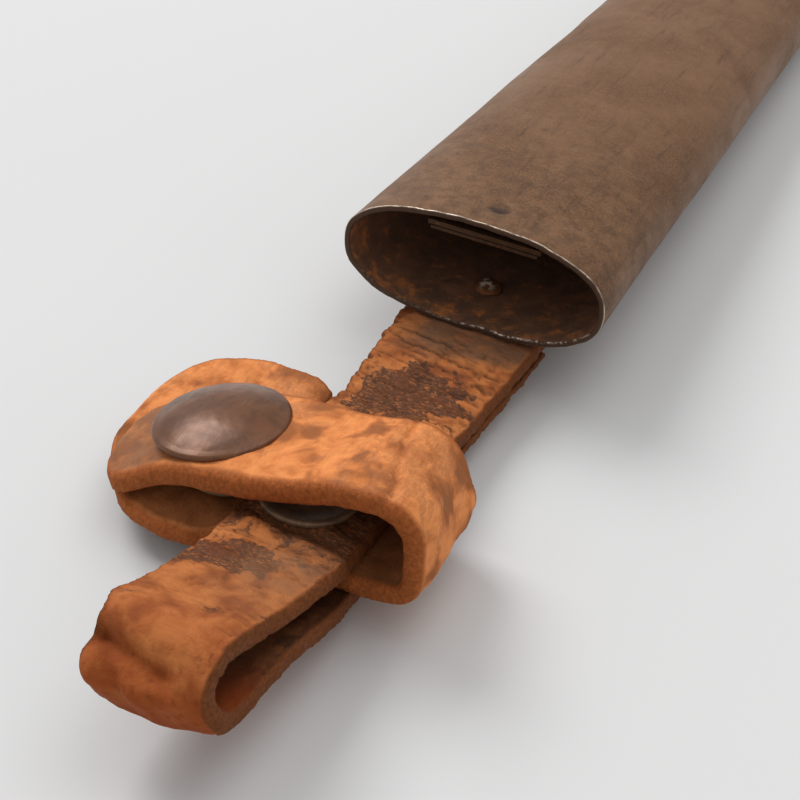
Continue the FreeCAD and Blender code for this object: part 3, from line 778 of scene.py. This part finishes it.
def handle_relief(length, w, side, centre):
    """The handle strap's (height, crack, worn, grey)."""
    height = hide_relief(length, w, 21) + 0.16 * rough(length / 4, w / 4, 7, 2)
    flexed = 0.25
    worn = 0.16
    if side > 0:
        crease = BEND_CREASE + 0.16 * (w - STRAP_MIDDLE) + 0.2 * rough(w / 2, 5, 5)
        height -= 0.75 * hill(length, crease, 0.5)
        height -= 0.30 * hill(length, SNAP_CREASE - 0.15 * (w - STRAP_MIDDLE), 0.9)
        worn += 0.42 * hill(length, 52, 7) * hill(w, STRAP_MIDDLE + 3, 6)
        worn += 0.40 * smooth(length, 52, 66)
        worn += 0.5 * hill(length, 30, 6)
        flexed = 0.4 * hill(length, 33, 6)
    else:
        worn = 0.05
        height += 0.25 * math.sin(length * 2.1 + 0.4 * w) * hill(length, 26, 9)
    cracked = cross_cracks(length, w, 21, flexed)
    # The flap's end is stained round the snap.
    stained = 0.8 * smooth(length + 2 * rough(length / 4, w / 4, 2), 51, 62) if side > 0 else 0.0
    return height - 0.22 * cracked, cracked, worn, stained


def lift_free(x, z):
    """How much of the flap's end hangs past the snap."""
    return smooth(x, -13, -27) * smooth(z, -13.5, -12.0)


def handle_leather(material):
    """The handle strap from under the hanger to the flap's end, in one piece over the flap's joint."""
    strap = strap_mesh(
        "handle_strap_leather", HANDLE_ROUTE, lambda a, b: Vector((a, 0, b)), Vector((0, 1, 0)),
        handle_edges, handle_thickness, handle_relief, 2.0, material)
    for vertex in strap.data.vertices:
        x, y, z = vertex.co / MM
        # The loop is pulled askew: its far side is lower and does not reach as far right.
        far = smooth(y, -53, -33)
        lift = smooth(z, -11, -2)
        vertex.co.x -= MM * 2.6 * far * smooth(x, 2, 15) * (0.4 + 0.6 * lift)
        vertex.co.z -= MM * 2.4 * far * lift * smooth(x, -7, 5)
        # The flap's front corner droops over the tab.
        vertex.co.z -= MM * 3.2 * lift_free(x, z) * (0.40 + 0.60 * smooth(y, -40, -52))
    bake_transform(strap)
    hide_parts("handle_strap_flap", "handle_strap_base")


TAB_CENTRE = Vector((-16.8, -38.2))
TAB_LENGTH = 14.6  # from its centre to its rounded left end
TAB_HALF = 16.3
TAB_ROUNDNESS = 2.3  # the outline's power: 2 is an ellipse, and more is squarer
TAB_THICK = 3.1


def tab_leather(material):
    """The round tab under the flap, which carries the snap's stud and curls up at its far side."""
    left_end = TAB_CENTRE.x - TAB_LENGTH + 0.1
    side_view = [(3.0, STACK_Z), (-9.0, STACK_Z), (-20.0, STACK_Z), (left_end, -13.2)]
    route = bend(side_view, [30, 60], 0.36)

    def edges(length, centre):
        """The tab's outline: round to the left, and the strap's own width beside the hanger."""
        away = max(0.0, TAB_CENTRE.x - centre.x) / TAB_LENGTH
        half = TAB_HALF * max(0.0, 1 - away ** TAB_ROUNDNESS) ** (1 / TAB_ROUNDNESS)
        low = min(TAB_CENTRE.y - half * (0.97 - 0.22 * away ** 2), TAB_CENTRE.y - 1.6)
        high = max(TAB_CENTRE.y + half, TAB_CENTRE.y + 1.6)
        inside = smooth(centre.x, -14, -9)
        low = low * (1 - inside) + (STRAP_MIDDLE - STRAP_HALF) * inside
        inside = smooth(centre.x, -9.6, -8.6)
        high = high * (1 - inside) + (STRAP_MIDDLE + STRAP_HALF) * inside
        wave = 0.35 * rough(centre.x / 5, 3, 4, 2)
        return low + wave, high + wave

    def relief(length, w, side, centre):
        """The tab's (height, crack, worn, grey)."""
        height = hide_relief(length, w, 33) + 0.25 * rough(length / 5, w / 5, 17, 2)
        worn = 0.20 + 0.6 * hill(w, -25, 4) * hill(centre.x, -12, 5)
        cracked = cross_cracks(length, w, 33, 0.3)
        # Under the flap the tab is painted dark: painted shade.
        shade_under_flap = 0.75 * smooth(w + rough(length / 4, w / 4, 5), -37, -43)
        return height - 0.2 * cracked, max(cracked, shade_under_flap), worn, 0.0

    tab = strap_mesh(
        "stud_tab_leather", route, lambda a, b: Vector((a, 0, b)), Vector((0, 1, 0)), edges,
        lambda length, centre: TAB_THICK, relief, 1.5, material, flat=60)
    for vertex in tab.data.vertices:
        # It curls up at its far side.
        x, y, _ = vertex.co / MM
        vertex.co.z += MM * (0.115 * (y + 42.5) + 1.3 * smooth(y, -36, -22)) * smooth(x, -7.0, -12.0)
    tab.data.flip_normals()
    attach(tab, "hanger")
    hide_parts("handle_strap_base")


# ---------------------------------------------------------------- turned metal pieces
def lathe(name, profile, base, axis, material, body, node, segments=96, lump=0.0):
    """A turned piece from (radius, height) pairs about an axis through base, in place of a CAD node.

    lump is how uneven its surface is.
    """
    axis = axis.normalized()
    side = axis.orthogonal().normalized()
    ahead = axis.cross(side)
    vertices = []
    for radius, height in profile:
        for index in range(segments):
            angle = 2 * math.pi * index / segments
            spoke = side * math.cos(angle) + ahead * math.sin(angle)
            uneven = lump * rough(spoke.x * radius / 2, spoke.y * radius / 2, height + spoke.z, 2)
            vertices.append(base + spoke * (radius + uneven * 0.4) + axis * (height + uneven))
    faces = ring_faces(len(profile), segments)
    faces.append(tuple(range(segments))[::-1])
    faces.append(tuple(range((len(profile) - 1) * segments, len(profile) * segments)))
    piece = mesh_object(name, vertices, faces, None, [material])
    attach(piece, body)
    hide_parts(node)


LEAN = math.radians(-10)  # the snap leans to the left with the flap
SNAP_AXIS = Vector((math.sin(LEAN), 0, math.cos(LEAN)))
FLAP_TOP = Vector((-14.5, STRAP_MIDDLE + 0.3, -4.5))  # the flap's upper face on the snap's axis
CAP_RADIUS = 8.9
CAP_HEIGHT = 3.0
HEAD_RADIUS = 2.2  # of the hanger rivets' heads


def snap_cap(material):
    """A low dome with a rolled edge, its barrel going down through the flap."""
    profile = [(0.7, -4.0), (1.5, -4.0), (1.55, 0.25), (CAP_RADIUS - 0.9, 0.25)]
    for turn in range(9):
        # The rolled edge, round to where the dome starts.
        angle = -math.pi / 2 + math.pi * turn / 8 * 0.86
        profile.append((CAP_RADIUS - 0.55 + 0.55 * math.cos(angle), 0.72 + 0.5 * math.sin(angle)))
    for step in range(1, 25):
        share = 1 - step / 24.5
        radius = (CAP_RADIUS - 0.42) * share
        profile.append((radius, 1.15 + (CAP_HEIGHT - 1.05) * (1 - share ** 2.3)))
    lathe("snap_cap_shell", profile, FLAP_TOP, SNAP_AXIS, material, "flap", "snap_cap",
          lump=0.035)


def strap_rivet(material):
    """The dished rivet head seen through the loop, and its shank through the hanger's stack."""
    low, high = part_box("strap_rivet")
    middle = (low + high) / 2 / MM
    foot = low.z / MM
    top = high.z / MM - foot
    rim = (high.x - low.x) / 2 / MM
    foot_and_shank = [(0.4, 0.0), (2.6, 0.0), (3.0, 0.25), (3.0, 0.45), (2.0, 0.5), (2.0, top - 1.05)]
    profile = foot_and_shank + [(rim - 0.5, top - 0.95)]
    for turn in range(7):
        angle = -math.pi / 2 + math.pi * turn / 6
        profile.append((rim - 0.45 + 0.45 * math.cos(angle), top - 0.47 + 0.45 * math.sin(angle)))
    for step in range(1, 9):
        share = step / 8
        profile.append((rim - 0.7 - (rim - 2.6) * share, top - 0.1 - 0.85 * math.sin(share * math.pi / 2)))
    profile += [(1.6, top - 0.8), (0.4, top - 0.65)]
    lathe("strap_rivet_head", profile, Vector((middle.x, middle.y, foot)), UP, material, "hanger",
          "strap_rivet", lump=0.02)


def hanger_rivet(place, material):
    """A rivet through the shell's floor and the leather: a peened head inside, a flat one outside."""
    low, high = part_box(f"hanger_rivet_{place}")
    middle = (low + high) / 2 / MM
    foot = low.z / MM
    top = high.z / MM - foot
    profile = [(0.3, 0.0), (2.0, 0.0), (HEAD_RADIUS, 0.2), (HEAD_RADIUS, 0.5), (1.3, 0.9), (1.3, top - 1.3)]
    for step in range(12):
        angle = step / 11 * 1.42
        profile.append((HEAD_RADIUS * math.cos(angle), top - 1.25 + 0.9 * math.sin(angle)))
    lathe(f"hanger_rivet_{place}_peened", profile, Vector((middle.x, middle.y, foot)), UP, material,
          "sheath", f"hanger_rivet_{place}", segments=64, lump=0.16)


# ---------------------------------------------------------------- carried-over CAD nodes
def dress_cad_nodes():
    """Small fittings keep their CAD shape and take a worn finish."""
    finishes = {
        browned_steel("fitting_steel", 0.8): ("tip_plug",),
        browned_steel("throat_steel", 0.36): ("throat_backing_plate", "throat_spring", "throat_rivet"),
        fastener_metal("washer_steel", **WASHER_LOOK): (
            "hanger_washer_front", "hanger_washer_rear", "strap_rivet_washer", "snap_stud_eyelet"),
        fastener_metal("snap_brass", **BRASS_LOOK): (
            "snap_stud", "snap_socket", "snap_socket_spring"),
    }
    for material, names in finishes.items():
        for name in names:
            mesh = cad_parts[name].data
            mesh.materials.clear()
            mesh.materials.append(material)


# ---------------------------------------------------------------- floor, light and camera
FLOOR_HALF = 4.0  # metres
WORLD_STRENGTH = 0.60
# Softboxes, all aimed at the mouth: (name, place, size, power).
SOFTBOXES = [("key", (-1.64, 0.66, 1.93), 1.3, 43.0), ("top", (0.5, 0.6, 2.5), 2.0, 17.0)]
CAMERA_PLACE = Vector((0.074036, -0.189733, 0.123992))
AZIMUTH, ELEVATION, ROLL = (math.radians(angle) for angle in (23.692, 35.671, 4.571))
LENS = 76.5


def floor():
    """A pale floor that the strap rivet and the sheath's tip rest on."""
    low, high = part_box("strap_rivet")
    contact_y = (low.y + high.y) / 2
    lowest = {}
    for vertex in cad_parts["sheath_shell"].data.vertices:
        station = round(vertex.co.y, 3)
        lowest[station] = min(vertex.co.z, lowest.get(station, 1.0))
    slope = min((z - low.z) / (y - contact_y) for y, z in lowest.items())
    corners = [(-FLOOR_HALF, -FLOOR_HALF), (FLOOR_HALF, -FLOOR_HALF), (FLOOR_HALF, FLOOR_HALF),
               (-FLOOR_HALF, FLOOR_HALF)]
    mesh = bpy.data.meshes.new("studio_floor")
    mesh.from_pydata([(x, y, low.z + slope * (y - contact_y)) for x, y in corners], [], [(0, 1, 2, 3)])
    mesh.materials.append(floor_paper("floor_paper"))
    piece = bpy.data.objects.new("studio_floor", mesh)
    bpy.context.scene.collection.objects.link(piece)


def softbox(name, place, size, power):
    """A square area light that faces the origin."""
    light = bpy.data.lights.new(name, "AREA")
    light.shape = "SQUARE"
    light.size = size
    light.energy = power
    lamp = bpy.data.objects.new(name, light)
    bpy.context.scene.collection.objects.link(lamp)
    lamp.location = place
    lamp.rotation_euler = (-Vector(place)).to_track_quat("-Z", "Y").to_euler()


def lights():
    """An even white world and the softboxes."""
    world = bpy.data.worlds.new("studio")
    bpy.context.scene.world = world
    world.use_nodes = True
    background = world.node_tree.nodes["Background"]
    background.inputs["Color"].default_value = (1.0, 1.0, 1.0, 1.0)
    background.inputs["Strength"].default_value = WORLD_STRENGTH
    for name, place, size, power in SOFTBOXES:
        softbox(name, place, size, power)
    bpy.context.scene.view_settings.view_transform = "Standard"


def camera():
    """A view from in front of the mouth: 36 degrees up, from the right, leaning a little."""
    back = Vector((
        math.sin(AZIMUTH) * math.cos(ELEVATION), -math.cos(AZIMUTH) * math.cos(ELEVATION),
        math.sin(ELEVATION)))
    right = (-back).cross(UP).normalized()
    above = back.cross(right)
    rolled_right = right * math.cos(ROLL) + above * math.sin(ROLL)
    rolled_above = above * math.cos(ROLL) - right * math.sin(ROLL)
    data = bpy.data.cameras.new("camera")
    data.lens = LENS
    data.sensor_width = 36.0
    data.clip_start = 0.01
    eye = bpy.data.objects.new("camera", data)
    bpy.context.scene.collection.objects.link(eye)
    turn = Matrix((rolled_right, rolled_above, back)).transposed().to_4x4()
    eye.matrix_world = Matrix.Translation(CAMERA_PLACE) @ turn
    bpy.context.scene.camera = eye


# ---------------------------------------------------------------- build
camera()
lights()
floor()
sheath_shell()
hanger_leather(leather("hanger_leather", **HANGER_LOOK))
handle_leather(leather("handle_leather", **STRAP_LOOK))
tab_leather(leather("tab_leather", **STRAP_LOOK))
snap_cap(fastener_metal("cap_bronze", **CAP_LOOK))
strap_rivet(fastener_metal("rivet_bronze", **RIVET_LOOK))
PEENED = hammered_steel("peened_steel")
hanger_rivet("front", PEENED)
hanger_rivet("rear", PEENED)
dress_cad_nodes()
